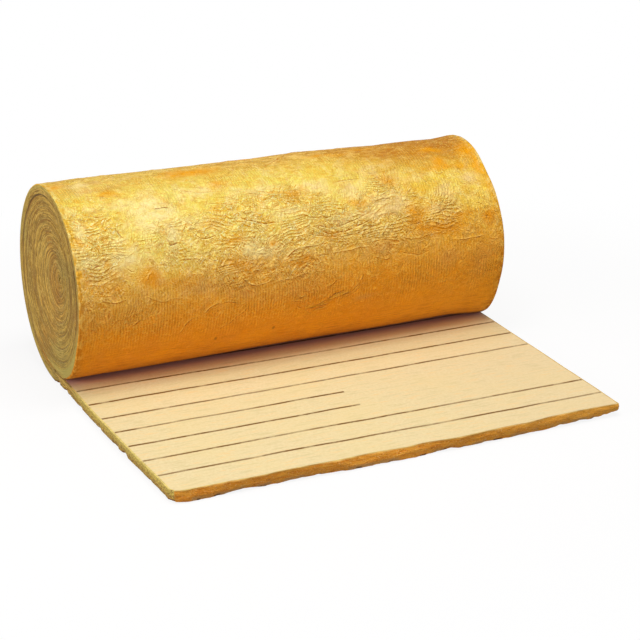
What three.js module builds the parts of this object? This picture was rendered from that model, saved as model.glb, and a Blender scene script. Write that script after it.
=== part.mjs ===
// A glass wool blanket faced with kraft paper: most of it wound into a roll, its free end laid out flat.
// Millimetres, +Z up. X runs along the roll's axis, the free end points to -Y and the floor is Z = 0.
// The blanket is one continuous band. It starts at the cut, runs flat under the roll, climbs the back,
// comes over the top and winds inwards, with its paper always on the side that faces the roll's axis.
import * as THREE from "three";

// Driving dimensions
const BLANKET_WIDTH = 1200; // along the roll's axis
const FREE_END = 890; // from the roll's axis to the cut
const WOOL_THICKNESS = 31; // the wool as it lies in the roll, sawn square on all its sides
const PAPER_THICKNESS = 0.4; // kraft paper with its film of adhesive
const PAPER_SIDE_MARGIN = 4; // bare wool beyond the paper along each side
const PAPER_END_MARGIN = 6; // bare wool beyond the paper at the two cross cuts
const SEAT_GAP = 0.3; // between wool and paper, and between one turn and the next
const TURNS = 7.275; // from the point under the axis to where the paper first meets the eye
const EYE_RADIUS = 3; // clear radius at the centre of the winding
const PINCHED_WOOL = 8; // the wool at its inner end, crushed round the eye when the winding was started
const STEPS_PER_TURN = 24;

// Worked out from them
const FACING_BUILD = SEAT_GAP + PAPER_THICKNESS; // what the facing adds to the wool
const BLANKET_THICKNESS = WOOL_THICKNESS + FACING_BUILD;
const TURN_PITCH = BLANKET_THICKNESS + SEAT_GAP;
const ROLL_RADIUS = EYE_RADIUS + BLANKET_THICKNESS + TURN_PITCH * TURNS; // straight down from the axis
const ROLL_BACK = ROLL_RADIUS - TURN_PITCH / 4; // the spiral has closed by a quarter pitch at the back
const AXIS_Y = (FREE_END - ROLL_BACK) / 2; // centres the whole object on the origin
const PINCHED_TURNS = (WOOL_THICKNESS - PINCHED_WOOL) / TURN_PITCH; // the last part of the winding

// A point of the blanket's wool side, the direction from it through the blanket, and the wool's thickness.
function flatStation(fromCut) {
  const point = new THREE.Vector2(AXIS_Y - FREE_END + fromCut, 0);
  return { point, inward: new THREE.Vector2(0, 1), wool: WOOL_THICKNESS };
}

// The same in the winding, turned from straight under the axis. Round the eye the paper keeps its radius,
// and the wool behind it thins out to what the turn before leaves it.
function woundStation(turned) {
  const radius = ROLL_RADIUS - (TURN_PITCH * turned) / (2 * Math.PI);
  const inward = new THREE.Vector2(-Math.sin(turned), Math.cos(turned));
  const point = new THREE.Vector2(AXIS_Y, ROLL_RADIUS).addScaledVector(inward, -radius);
  return { point, inward, wool: Math.min(WOOL_THICKNESS, radius - EYE_RADIUS - FACING_BUILD) };
}

// Stations from the cut to the eye, less a margin at both. Every turn has its stations at the same angles,
// so that neighbouring turns lie parallel.
function bandStations(endMargin) {
  const eyeReach = EYE_RADIUS + FACING_BUILD + PINCHED_WOOL / 2; // the wool's middle at the inner end
  const lastTurned = 2 * Math.PI * (TURNS + PINCHED_TURNS) - endMargin / eyeReach;
  const stepAngle = (2 * Math.PI) / STEPS_PER_TURN;
  const stations = [flatStation(endMargin)];
  for (let turned = 0; turned < lastTurned - stepAngle / 4; turned += stepAngle) {
    stations.push(woundStation(turned));
  }
  stations.push(woundStation(lastTurned));
  return stations;
}

// A closed solid that follows the stations with a section of [x, depth] corners, which run from the near
// side to the far side along the wool's face and back along the paper's.
function sweptBand(stations, sectionAt) {
  const positions = [];
  const rings = stations.map((station) =>
    sectionAt(station).map(([x, depth]) => {
      const at = station.point.clone().addScaledVector(station.inward, depth);
      return positions.push(x, at.x, at.y) / 3 - 1;
    }),
  );
  const triangles = [];
  const corners = rings[0].length;
  const last = rings[rings.length - 1];
  for (let i = 1; i < rings.length; i++) {
    for (let j = 0; j < corners; j++) {
      const next = (j + 1) % corners;
      triangles.push(rings[i - 1][j], rings[i][j], rings[i][next]);
      triangles.push(rings[i - 1][j], rings[i][next], rings[i - 1][next]);
    }
  }
  for (let j = 1; j < corners - 1; j++) {
    triangles.push(rings[0][0], rings[0][j], rings[0][j + 1]);
    triangles.push(last[0], last[j + 1], last[j]);
  }
  const geometry = new THREE.BufferGeometry();
  geometry.setAttribute("position", new THREE.Float32BufferAttribute(positions, 3));
  geometry.setIndex(triangles);
  geometry.computeVertexNormals();
  return geometry;
}

function woolSection({ wool }) {
  const side = BLANKET_WIDTH / 2;
  return [[-side, 0], [side, 0], [side, wool], [-side, wool]];
}

function paperSection({ wool }) {
  const side = BLANKET_WIDTH / 2 - PAPER_SIDE_MARGIN;
  const underside = wool + SEAT_GAP;
  const top = wool + FACING_BUILD;
  return [[-side, underside], [side, underside], [side, top], [-side, top]];
}

function glassWoolBlanket() {
  const geometry = sweptBand(bandStations(0), woolSection);
  const material = new THREE.MeshStandardMaterial({ color: 0xd9982b, roughness: 0.95, metalness: 0 });
  const blanket = new THREE.Mesh(geometry, material);
  blanket.name = "glass_wool_blanket";
  return blanket;
}

function kraftPaperFacing() {
  const geometry = sweptBand(bandStations(PAPER_END_MARGIN), paperSection);
  const material = new THREE.MeshStandardMaterial({ color: 0xeed9a3, roughness: 0.8, metalness: 0 });
  const facing = new THREE.Mesh(geometry, material);
  facing.name = "kraft_paper_facing";
  return facing;
}

const insulationRoll = new THREE.Group();
insulationRoll.add(glassWoolBlanket(), kraftPaperFacing());

export default insulationRoll;
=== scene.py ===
"""Looks of a paper-faced glass wool blanket: most of it a roll, its free end laid flat. Metres, +Z up."""

import math
from functools import partialmethod
from types import SimpleNamespace

import bpy
import numpy as np
from mathutils import Matrix, Vector

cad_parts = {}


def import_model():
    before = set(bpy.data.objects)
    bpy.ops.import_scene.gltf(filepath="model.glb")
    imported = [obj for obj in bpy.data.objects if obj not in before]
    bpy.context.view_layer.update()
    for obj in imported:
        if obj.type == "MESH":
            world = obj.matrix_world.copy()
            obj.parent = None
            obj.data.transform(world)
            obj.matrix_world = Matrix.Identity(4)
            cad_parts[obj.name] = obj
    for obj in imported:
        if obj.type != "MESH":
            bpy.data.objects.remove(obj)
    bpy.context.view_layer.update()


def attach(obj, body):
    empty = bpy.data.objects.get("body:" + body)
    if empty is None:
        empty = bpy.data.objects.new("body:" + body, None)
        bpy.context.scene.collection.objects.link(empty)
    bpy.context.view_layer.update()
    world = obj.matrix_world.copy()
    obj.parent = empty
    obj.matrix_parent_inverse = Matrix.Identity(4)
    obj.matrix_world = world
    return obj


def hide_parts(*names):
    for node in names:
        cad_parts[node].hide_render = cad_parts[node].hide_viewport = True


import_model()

# The winding, as the CAD has it
WIDTH = 1.2
FREE_END = 0.890
WOOL = 0.031
GAP = 0.0003
PAPER = 0.0004
PITCH = WOOL + PAPER + 2 * GAP
EYE = 0.003
PINCHED = 0.008
TURNS = 7.275
ROLL_R = EYE + WOOL + PAPER + GAP + PITCH * TURNS
AXIS_Y = (FREE_END - (ROLL_R - PITCH / 4)) / 2
CUT_Y = AXIS_Y - FREE_END
PAPER_MARGIN = 0.004
EYE_REACH = 0.008  # about how far the middle of the wool lies from the axis at its inner end
TAU = 2 * math.pi

# How the real, soft one departs from it
PAPER_END_MARGIN = 0.0005  # the CAD leaves 6 mm of bare wool at both cuts, the photo next to none
FAT_LEFT, FAT_RIGHT = 0.0068, -0.0076  # the roll's radius at its two ends
EYE_SHIFT = (-0.094, 0.040)  # the eye lies off centre, towards the front and up
RIGHT_SKEW, CUT_SKEW = 0.0110, 0.0102  # the free end isn't cut quite square
LEFT_LEAN = 0.0275  # the left end leans outwards towards the floor
BELLY = 0.0125  # the outer turn bulges forward above the line where it lies on the sheet
EDGE_ROUND, HIDDEN_EDGE_ROUND = 0.0045, 0.0006  # the bare face's edges, where it shows and inside the roll
EDGE_SWELL = 0.0009  # inside the roll, where the edge of a turn swells over the paper of the next one out
CORNER_ROUND, CORNER_PULL = 0.0075, 0.0042  # the left corner of the cut, and the side drawn in behind it
SIDE_WEAR = 0.013  # at most, along the lower edges of the laid-out sheet's sides
FOLD_HEIGHT = 0.0014  # in the mesh, for a fold of height 1
FOLD_REACH = 0.02  # no fold marks the skin further away than this

# Outlines, as points of (x in metres, millimetres). The cross cut was made freehand: how far the paper's edge
# stands out in front of a straight cut, how far the wool's lower edge does, and how far that is torn up.
PAPER_EDGE = [
    (-0.60, -1), (-0.57, 6), (-0.45, 5), (-0.36, 8), (-0.33, 5), (-0.18, 9), (-0.11, 2), (0.0, 6),
    (0.045, 1), (0.14, 10), (0.26, 3), (0.34, 5), (0.40, -3), (0.52, -7), (0.60, -4),
]
WOOL_EDGE = [
    (-0.60, 1), (-0.56, 10), (-0.42, 0), (-0.36, 3), (-0.23, 1), (-0.12, 11), (-0.07, 8), (-0.02, 11),
    (0.045, 7), (0.08, 1), (0.20, 3), (0.35, 0), (0.45, -5), (0.60, -7),
]
TORN_UP = [
    (0.08, 0), (0.12, 4), (0.14, 0), (0.30, 0), (0.34, 3), (0.38, 0), (0.45, 3), (0.52, 4), (0.60, 10),
]
# How far the roll's top line stands up: it sags towards the left end and on the right, and swells right of
# the middle and at the right end.
TOP_LINE = [
    (-0.60, -8.0), (-0.55, -5.5), (-0.50, -2.2), (-0.30, -2.2), (-0.10, -2.0), (-0.05, -1.5), (0.0, -3.0),
    (0.06, 1.0), (0.12, 3.5), (0.30, 0.7), (0.36, -3.5), (0.42, -1.8), (0.48, -2.4), (0.54, -5.6),
    (0.575, 0.0), (0.60, 6.0),
]

# Folds in the skin that catch the light: four points of (x, way round from the floor) in mm, then the height
# as a share, negative for a furrow, and the width in mm.
FOLDS = [
    ([(42, 1109), (94, 1131), (152, 1127), (253, 1090)], -1.0, 5),
    ([(40, 1091), (86, 1142), (157, 1143), (265, 1111)], -1.0, 4),
    ([(19, 1120), (76, 1152), (160, 1158), (263, 1137)], -0.9, 5),
    ([(-150, 1052), (-104, 1085), (-70, 1094), (-30, 1096)], -0.9, 4),
    ([(-170, 1222), (-138, 1256), (-104, 1264), (-62, 1250)], 1.0, 5),
    ([(20, 1372), (107, 1345), (172, 1311), (177, 1267)], 1.0, 4),
    ([(-345, 1112), (-337, 1119), (-330, 1120), (-320, 1116)], -1.5, 3),
    ([(-357, 1005), (-345, 1006), (-330, 1009), (-318, 1015)], -1.2, 3),
    ([(-485, 1040), (-475, 1062), (-468, 1078), (-460, 1086)], -1.0, 3),
    ([(-592, 1003), (-578, 1014), (-560, 1026), (-530, 1034)], -1.0, 3),
    ([(-560, 1160), (-540, 1151), (-527, 1144), (-510, 1136)], -1.0, 3),
    ([(-90, 1268), (-40, 1262), (3, 1254), (45, 1236)], 0.8, 4),
    ([(-36, 1204), (-10, 1184), (38, 1175), (100, 1175)], 0.9, 5),
    ([(28, 1083), (60, 1098), (100, 1102), (139, 1095)], -0.8, 4),
    ([(-275, 944), (-243, 960), (-205, 968), (-170, 968)], -0.7, 4),
    ([(-218, 1014), (-190, 1012), (-160, 1016), (-127, 1034)], -0.7, 4),
    ([(-438, 1240), (-400, 1262), (-360, 1270), (-310, 1262)], 0.7, 5),
    ([(-544, 1240), (-520, 1252), (-495, 1256), (-465, 1250)], 0.8, 4),
    ([(-335, 1166), (-310, 1160), (-280, 1166), (-250, 1181)], 0.8, 4),
    ([(-279, 1085), (-262, 1108), (-240, 1118), (-210, 1108)], -0.8, 4),
    ([(281, 1185), (330, 1192), (370, 1192), (410, 1186)], 0.6, 5),
    ([(441, 1214), (480, 1220), (510, 1220), (550, 1214)], 0.8, 4),
    ([(91, 1211), (130, 1202), (180, 1200), (225, 1203)], 0.7, 4),
    ([(345, 968), (375, 985), (405, 1015), (428, 1065)], -0.6, 5),
    ([(-542, 926), (-505, 925), (-470, 936), (-440, 954)], -0.6, 4),
    ([(-549, 993), (-525, 1008), (-500, 1010), (-470, 1002)], -0.7, 4),
    ([(-230, 1405), (-190, 1378), (-160, 1350), (-135, 1318)], 0.6, 4),
    ([(112, 1348), (140, 1343), (165, 1328), (180, 1305)], 0.6, 3),
    ([(39, 1366), (75, 1358), (110, 1336), (146, 1326)], -1.4, 3),
    ([(146, 1326), (160, 1321), (171, 1312), (176, 1300)], -1.0, 3),
    ([(47, 1387), (60, 1382), (72, 1380), (88, 1371)], -1.4, 3),
    ([(-7, 1301), (0, 1322), (11, 1324), (22, 1320)], 1.0, 3),
    ([(-6, 1353), (13, 1369), (34, 1390), (48, 1389)], -0.7, 3),
    ([(76, 1306), (93, 1299), (104, 1291), (110, 1283)], 0.8, 3),
    ([(-27, 1338), (-11, 1334), (4, 1337), (18, 1340)], 0.7, 3),
    ([(-470, 1340), (-454, 1326), (-442, 1319), (-417, 1323)], 1.0, 3),
    ([(-332, 1393), (-315, 1370), (-302, 1346), (-280, 1336)], 1.0, 3),
    ([(-262, 1330), (-254, 1320), (-244, 1310), (-217, 1306)], 1.2, 3),
    ([(-217, 1306), (-200, 1302), (-184, 1305), (-160, 1325)], 1.0, 3),
    ([(20, 1372), (45, 1370), (70, 1367), (96, 1363)], 1.2, 3),
    ([(212, 1229), (232, 1238), (249, 1243), (269, 1231)], 0.8, 3),
    ([(290, 1228), (313, 1241), (344, 1246), (382, 1237)], -0.8, 3),
    ([(412, 1353), (418, 1350), (423, 1347), (428, 1341)], 1.2, 3),
    ([(154, 993), (181, 989), (207, 989), (236, 990)], -0.9, 3),
    ([(-133, 1229), (-124, 1221), (-115, 1220), (-110, 1229)], 1.2, 3),
    ([(52, 1216), (70, 1207), (89, 1213), (97, 1229)], -0.9, 3),
    ([(326, 1150), (337, 1152), (349, 1151), (358, 1149)], -1.0, 3),
    ([(-565, 955), (-555, 957), (-548, 959), (-538, 961)], -0.9, 3),
    ([(-575, 1123), (-575, 1142), (-581, 1160), (-581, 1179)], -0.9, 3),
    ([(-593, 1322), (-578, 1318), (-564, 1324), (-547, 1341)], 0.7, 3),
]

# Patches of the skin: x and way round in mm, half sizes in mm, strength. The felt is paler, more orange or
# greyer there, or its ribs show most.
PALE = [
    (-520, 853, 50, 14, 0.6), (-356, 1007, 52, 40, 1.0), (-395, 1050, 40, 26, 0.6),
    (-334, 1095, 14, 30, 1.0), (-459, 1145, 40, 24, 1.0), (-478, 1090, 22, 14, 0.7),
    (-569, 1045, 14, 26, 1.0), (-588, 1100, 10, 16, 0.8), (-570, 1140, 24, 16, 0.8), (90, 1004, 46, 20, 0.8),
    (191, 1027, 26, 26, 1.0), (276, 1076, 44, 26, 1.0), (318, 1094, 26, 20, 0.9), (230, 1108, 50, 14, 0.9),
    (140, 1114, 26, 10, 0.7), (-3, 1067, 40, 16, 0.7), (-85, 1176, 44, 18, 1.0), (-118, 1168, 24, 20, 0.7),
    (457, 1067, 26, 20, 0.8), (545, 1034, 22, 26, 0.9), (411, 1111, 22, 14, 0.7), (274, 959, 50, 26, 0.5),
    (-213, 957, 60, 20, 0.4), (-60, 981, 60, 20, 0.5), (338, 1012, 60, 20, 0.4), (-440, 975, 60, 20, 0.4),
    (-280, 1060, 40, 20, 0.4),
]
ORANGE = [
    (-588, 844, 26, 24, 1.0), (-581, 1074, 12, 12, 1.0), (-210, 860, 66, 24, 1.0), (-165, 941, 20, 14, 0.6),
    (-465, 926, 24, 16, 0.8), (-406, 1200, 22, 26, 1.0), (-171, 1192, 44, 12, 0.6),
    (-167, 1133, 26, 10, 0.8), (-57, 1160, 9, 10, 1.0), (15, 1213, 38, 14, 0.9), (26, 1008, 22, 12, 0.8),
    (111, 1155, 24, 8, 1.0), (355, 1121, 28, 20, 1.0), (305, 1013, 20, 12, 0.8), (201, 1068, 26, 10, 0.7),
    (480, 1143, 30, 12, 0.9), (566, 1158, 24, 22, 1.0), (387, 1164, 60, 10, 0.7), (578, 915, 30, 34, 1.0),
    (587, 985, 16, 44, 1.0), (473, 894, 30, 14, 1.0), (592, 1080, 12, 50, 0.8), (-37, 775, 60, 10, 0.7),
    (-516, 1148, 12, 10, 0.7), (-596, 1160, 10, 60, 0.9), (181, 860, 60, 12, 0.5), (300, 830, 60, 10, 0.5),
    (490, 985, 60, 14, 0.6), (-330, 1225, 60, 12, 0.5), (-221, 1077, 30, 12, 0.5), (470, 960, 16, 20, 0.9),
    (344, 1150, 22, 12, 0.8), (430, 1180, 70, 18, 0.7), (-515, 1215, 50, 26, 0.45),
    (-120, 1215, 60, 26, 0.45),
]
GREY = [
    (-386, 1212, 14, 16, 1.0), (-585, 1262, 18, 20, 1.0), (-153, 1288, 26, 18, 1.0),
    (432, 1270, 34, 26, 0.6), (527, 1289, 30, 50, 0.5), (-570, 1190, 22, 20, 0.8), (-276, 1250, 60, 24, 0.6),
    (243, 1203, 34, 16, 0.8), (197, 1361, 26, 10, 0.7), (3, 1301, 60, 20, 0.4), (-500, 1180, 40, 20, 0.6),
    (120, 1200, 40, 12, 0.6), (-470, 893, 90, 14, 0.6),
]
RIBBED = [
    (257, 928, 40, 34, 1.0), (387, 939, 46, 34, 1.0), (305, 1031, 60, 25, 1.0), (405, 1052, 34, 50, 1.0),
    (-84, 1330, 60, 40, 0.9), (345, 1297, 70, 60, 1.0), (-552, 1300, 50, 60, 0.8), (-440, 1230, 50, 40, 0.9),
    (-300, 1225, 80, 36, 0.8), (-391, 1331, 70, 40, 0.9), (119, 1291, 50, 40, 0.8), (62, 1226, 60, 40, 0.7),
    (508, 1153, 50, 60, 0.8), (-130, 1262, 50, 30, 0.7), (-480, 1310, 60, 50, 1.0),
    (-370, 1300, 60, 50, 0.9), (-210, 1250, 60, 50, 0.9), (-10, 1270, 50, 40, 0.7),
]

# ---------------------------------------------------------------- noise and curves

def lattice(ix, iy, iz, seed):
    """A random number from -1 to 1 for each corner of a lattice, the same on every run."""
    h = (ix * 374761393 + iy * 668265263 + iz * 2147483647 + seed * 144665) & 0xFFFFFFFF
    h = ((h ^ (h >> 13)) * 1274126177) & 0xFFFFFFFF
    h = ((h ^ (h >> 15)) * 2246822519) & 0xFFFFFFFF
    return ((h ^ (h >> 16)) & 0xFFFFF) / 524287.5 - 1.0


def noise(x, y, z=0.0, seed=0):
    """Smooth value noise, about -1 to 1."""
    x, y, z = np.broadcast_arrays(np.asarray(x, float), np.asarray(y, float), np.asarray(z, float))
    ix, iy, iz = (np.floor(v).astype(np.int64) for v in (x, y, z))
    fx, fy, fz = x - ix, y - iy, z - iz
    wx, wy, wz = (f * f * f * (f * (f * 6 - 15) + 10) for f in (fx, fy, fz))
    total = 0.0
    for dx in (0, 1):
        for dy in (0, 1):
            for dz in (0, 1):
                weight = (wx if dx else 1 - wx) * (wy if dy else 1 - wy) * (wz if dz else 1 - wz)
                total = total + weight * lattice(ix + dx, iy + dy, iz + dz, seed)
    return total


def fbm(x, y, z=0.0, seed=0, octaves=3, gain=0.5):
    """Noise with finer noise on top, about -1 to 1."""
    total, amp, norm = 0.0, 1.0, 0.0
    for k in range(octaves):
        fine_x, fine_y, fine_z = (np.asarray(v) * 2**k for v in (x, y, z))
        total = total + amp * noise(fine_x, fine_y, fine_z, seed + 17 * k)
        norm += amp
        amp *= gain
    return total / norm


def smooth(lo, hi, v):
    """0 up to lo, 1 from hi on, and a soft step between."""
    t = np.clip((np.asarray(v, float) - lo) / (hi - lo), 0, 1)
    return t * t * (3 - 2 * t)


def bell(v, middle, width):
    return np.exp(-(((v - middle) / width) ** 2))


def along_outline(x, outline):
    """One of the outlines above at x, in metres."""
    at, values = zip(*outline)
    return np.interp(np.asarray(x, float), at, values) / 1000


# ---------------------------------------------------------------- the band

def make_rows(flat_step, outer_steps, inner_step_deg, end_margin):
    """Stations from cut to eye: (metres from the cut, None) on the flat, else (None, angle turned)."""
    near = [0, 0.0025, 0.006, 0.011, 0.017, 0.025, 0.035, 0.048]
    flat = near + list(np.arange(near[-1] + flat_step, FREE_END - 0.4 * flat_step, flat_step))
    flat = [s for s in flat if s < FREE_END - 0.002]
    rows = [(end_margin + s * (1 - end_margin / FREE_END), None) for s in flat]
    turned, wound = 0.0, []
    while turned < TAU:
        wound.append(turned)
        step = next(size for limit, size in outer_steps if turned < limit)
        turned += step / ROLL_R
    last = TAU * (TURNS + (WOOL - PINCHED) / PITCH) - end_margin / EYE_REACH
    turned = TAU
    while turned < last - 0.03:
        wound.append(turned)
        turned += math.radians(inner_step_deg)
    wound.append(last)
    rows += [(None, t) for t in wound]
    return rows


def row_arrays(rows):
    """For each station: whether it is flat, metres from the cut, angle, wool's thickness, metres along."""
    flat = np.array([r[0] is not None for r in rows])
    s = np.array([r[0] if r[0] is not None else FREE_END for r in rows])
    t = np.array([r[1] if r[1] is not None else 0.0 for r in rows])
    radius = ROLL_R - PITCH * t / TAU
    wool = np.minimum(WOOL, radius - EYE - GAP - PAPER)
    middle = radius - WOOL / 2
    turn_along = np.concatenate([[0], np.cumsum(np.diff(t) * (middle[1:] + middle[:-1]) / 2)])
    along = s + np.where(flat, 0, turn_along - turn_along[np.argmin(flat)])
    return flat, s, t, wool, along


def fatness(x):
    """How much larger the roll's radius is at x."""
    u = (x + WIDTH / 2) / WIDTH
    return FAT_LEFT + (FAT_RIGHT - FAT_LEFT) * u


def place(flat, s, t, depth, x, lift=0.0):
    """Positions of points at a depth under the wool's bare face. All arguments are arrays of one shape."""
    scale = 1 + fatness(x) / ROLL_R
    radius = ROLL_R - PITCH * t / TAU - depth
    shift = np.clip(1 - radius / (ROLL_R - PITCH), 0, 1)
    ry = radius * np.sin(t) + EYE_SHIFT[0] * shift
    rz = -radius * np.cos(t) + EYE_SHIFT[1] * shift
    wound_y = AXIS_Y + ry * scale
    wound_z = (ROLL_R + rz) * scale
    fade = smooth(FREE_END - 0.32, FREE_END, s)
    flat_z = depth * (1 + (scale - 1) * fade) + lift
    from_left = (x + WIDTH / 2) / WIDTH
    flat_y = CUT_Y + s + (CUT_SKEW * from_left - along_outline(x, PAPER_EDGE)) * (1 - smooth(0, 0.1, s))
    flat_x = x - RIGHT_SKEW * np.clip(from_left, 0, 1) ** 3 * (1 - s / FREE_END)
    rounded = CORNER_ROUND * (1 - smooth(0.0, 0.024, s)) ** 2 * (1 - smooth(0.0, 0.07, from_left))
    pulled = CORNER_PULL * (1 - smooth(0.05, 0.34, s)) * (1 - smooth(0.0, 0.3, from_left))
    flat_x = flat_x + rounded + pulled
    y = np.where(flat, flat_y, wound_y)
    z = np.where(flat, flat_z, wound_z)
    # both ends lean: the left one outwards towards the floor, hardly so at the back, the right one a little
    upright = 1 - 0.70 * bell(y, 0.26, 0.20) * (1 - smooth(0.06, 0.20, z))
    left = LEFT_LEAN * (np.minimum(z, 0.5) - 0.28) * smooth(0.0, 0.6, -x) * upright
    right = 0.0045 * (1 - smooth(0.28, 0.42, z)) * (0.35 + 0.65 * smooth(0.04, 0.14, z))
    right = right - 0.0050 * bell(z, 0.455, 0.035)
    return np.stack([np.where(flat, flat_x, x) + left + right * smooth(0.2, 0.6, x), y, z], axis=-1)


def flat_wave(x, s):
    """How far the laid-out end rides up and down, fading to nothing under the roll."""
    wave = 0.0012 * fbm(x * 4.1, s * 5.3, 0, 5, 2) + 0.0005 * noise(x * 17, s * 13, 0, 9)
    return wave * (1 - smooth(FREE_END - 0.35, FREE_END - 0.1, s))


# ---------------------------------------------------------------- relief of the bare face and the cuts

def curve_points(points, count=24):
    """A curve through four points, which it passes at 0, 1/3, 2/3 and 1 of its length."""
    u = np.linspace(0, 1, count)[:, None]
    a, b, c, d = np.array(points, float)
    return (a * (-4.5 * (u - 1 / 3) * (u - 2 / 3) * (u - 1)) + b * (13.5 * u * (u - 2 / 3) * (u - 1))
            + c * (-13.5 * u * (u - 1 / 3) * (u - 1)) + d * (4.5 * u * (u - 1 / 3) * (u - 2 / 3)))


def extra_folds():
    """More folds of the same kinds, not placed by hand: on the back, and small ones on the front."""
    rng = np.random.default_rng(11)
    made = []
    for _ in range(46):
        x, a = rng.uniform(-0.56, 0.56), rng.uniform(0.2, 0.80)
        half, lean = rng.uniform(0.03, 0.12), rng.normal(0, 0.5)
        made.append((x, a, half, lean, rng.choice([-1, 1]) * rng.uniform(0.5, 1.0)))
    for _ in range(120):
        x, a = rng.uniform(-0.59, 0.59), rng.normal(1.12, 0.10)
        half, lean = rng.uniform(0.006, 0.020), rng.normal(0, 0.6)
        made.append((x, a, half, lean, rng.choice([-1, 1]) * rng.uniform(0.3, 0.7)))
    folds = []
    for x, a, half, lean, height in made:
        bend = rng.normal(0, 0.5, 2) * half * 0.9
        along = np.array([math.cos(lean), math.sin(lean)])
        across = np.array([-along[1], along[0]])
        shape = ((-1, 0), (-0.33, bend[0]), (0.33, bend[1]), (1, 0))
        points = [np.array([x, a]) + along * half * k + across * b for k, b in shape]
        folds.append((points, height, rng.uniform(2.5, 4.5)))
    return folds


def fold_fields(x, a):
    """At each point: the signed distance to the nearest fold, that fold's strength, and all folds' relief."""
    near = np.full(x.shape, FOLD_REACH)
    power = np.zeros(x.shape)
    relief = np.zeros(x.shape)
    warp_x = x + 0.004 * noise(x * 40, a * 40, 0, 51)
    warp_a = a + 0.004 * noise(x * 40, a * 40, 0, 52)
    placed = [(np.array(points) / 1000, height, width) for points, height, width in FOLDS]
    for points, height, width in placed + extra_folds():
        line = curve_points(points)
        lo, hi = line.min(0) - 0.025, line.max(0) + 0.025
        pick = np.nonzero((warp_x > lo[0]) & (warp_x < hi[0]) & (warp_a > lo[1]) & (warp_a < hi[1]))[0]
        if not len(pick):
            continue
        q = np.stack([warp_x[pick], warp_a[pick]], 1)
        seg = line[1:] - line[:-1]
        rel = q[:, None, :] - line[None, :-1]
        k = np.clip((rel * seg).sum(2) / (seg * seg).sum(1), 0, 1)
        off = rel - k[..., None] * seg
        dist = np.hypot(off[..., 0], off[..., 1])
        best = dist.argmin(1)
        row = np.arange(len(pick))
        side = np.sign(seg[best, 0] * off[row, best, 1] - seg[best, 1] * off[row, best, 0])
        d = dist[row, best]
        progress = (best + k[row, best]) / len(seg)
        taper = np.clip(np.minimum(progress, 1 - progress) * 5, 0, 1) * (d < FOLD_REACH)
        closer = d < np.abs(near[pick])
        near[pick] = np.where(closer, d * np.where(side == 0, 1, side), near[pick])
        power[pick] = np.where(closer, taper * height, power[pick])
        relief[pick] += height * taper * bell(d, 0, width / 1000) * FOLD_HEIGHT
    return near, power, relief


def blobs(x, a, patches):
    """How much of the patches there is at each point, 0 to 1."""
    total = np.zeros(x.shape)
    wx = x + 0.010 * noise(x * 30, a * 30, 0, 61)
    wa = a + 0.010 * noise(x * 30, a * 30, 0, 62)
    for px, pa, sx, sa, strength in patches:
        off_x, off_a = (wx - px / 1000) / (sx / 1000), (wa - pa / 1000) / (sa / 1000)
        total += strength * np.exp(-(off_x**2 + off_a**2))
    return np.clip(total, 0, 1)


def crumpled(x, a):
    """0 where the skin is smooth and ribbed, 1 where it is gathered into creases."""
    band = 0.75 * bell(a - 1.12 - 0.02 * noise(x * 4, 0.5, 0, 28), 0, 0.11)
    ends = (0.35 * smooth(0.42, 0.56, -x) - 0.45 * smooth(0.22, 0.42, x)) * (1 - smooth(1.3, 1.5, a))
    low = 0.5 * smooth(1.26, 1.36, a)
    upper = 0.38 * (1 - smooth(0.98, 1.07, a)) * bell(x, 0.02, 0.24)
    return smooth(0.05, 0.75, fbm(x * 7, a * 9, 0, 22, 3) * 0.9 + band + ends - low - upper)


def skin_relief(x, a):
    """How far the bare face of the outer turn stands out, in metres."""
    swell = 0.0022 * fbm(x * 3.2, a * 3.7, 0, 21, 2)
    wx = x + 0.012 * noise(x * 22, a * 22, 0, 23)
    wa = a + 0.012 * noise(x * 22, a * 22, 0, 24)
    coarse = 1 - np.abs(noise(wx * 46, wa * 62, 0, 25)) * 2
    fine = 1 - np.abs(noise(wx * 80, wa * 95, 0, 26)) * 2
    h = swell + crumpled(x, a) * (0.0012 * coarse + 0.0007 * fine) + 0.0004 * noise(x * 70, a * 70, 0, 27)
    return h + along_outline(x, TOP_LINE) * bell(a, 0.88, 0.17)


def face_depth(v):
    """How deep the bare face lies under its plain surface."""
    to_side = WIDTH / 2 - np.abs(v.x)
    radius = np.where(v.on_skin | v.flat, EDGE_ROUND, HIDDEN_EDGE_ROUND)
    depth = radius - np.sqrt(np.maximum(radius**2 - np.maximum(0, radius - to_side) ** 2, 0))
    inside = (~v.on_skin) & (~v.flat)
    depth = depth - np.where(inside, EDGE_SWELL * (1 - smooth(0.0, 0.0039, to_side)), 0)
    calm = smooth(0.0, 0.5, v.t) * (1 - smooth(TAU - 0.42, TAU - 0.18, v.t))
    relief = skin_relief(v.x, v.arc) + fold_fields(v.x, v.arc)[2]
    depth = depth - np.where(v.on_skin, calm * relief * smooth(0, 0.012, to_side + 0.004), 0)
    belly = BELLY + 0.008 * smooth(0.49, 0.59, v.x)
    bulge = belly * smooth(TAU - 1.15, TAU - 0.55, v.t) * (1 - smooth(TAU - 0.20, TAU, v.t))
    depth = depth - np.where(v.on_skin, bulge, 0)
    return depth + np.where(v.flat, ragged(v.x, v.s), 0)


def ragged(x, s):
    """The torn lower edge at the cross cut: how far the bare face is drawn up there."""
    notch = along_outline(x, TORN_UP) + np.maximum(0, fbm(x * 14, 0.3, 0, 31, 3)) * 0.003
    fine = np.maximum(0, noise(x * 70, 0.7, 0, 33)) * 0.002
    pits = 0.0006 * np.maximum(0, noise(x * 60, s * 60, 0, 34))
    return (notch + fine) * (1 - smooth(0.004, 0.035, s)) + pits


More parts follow.
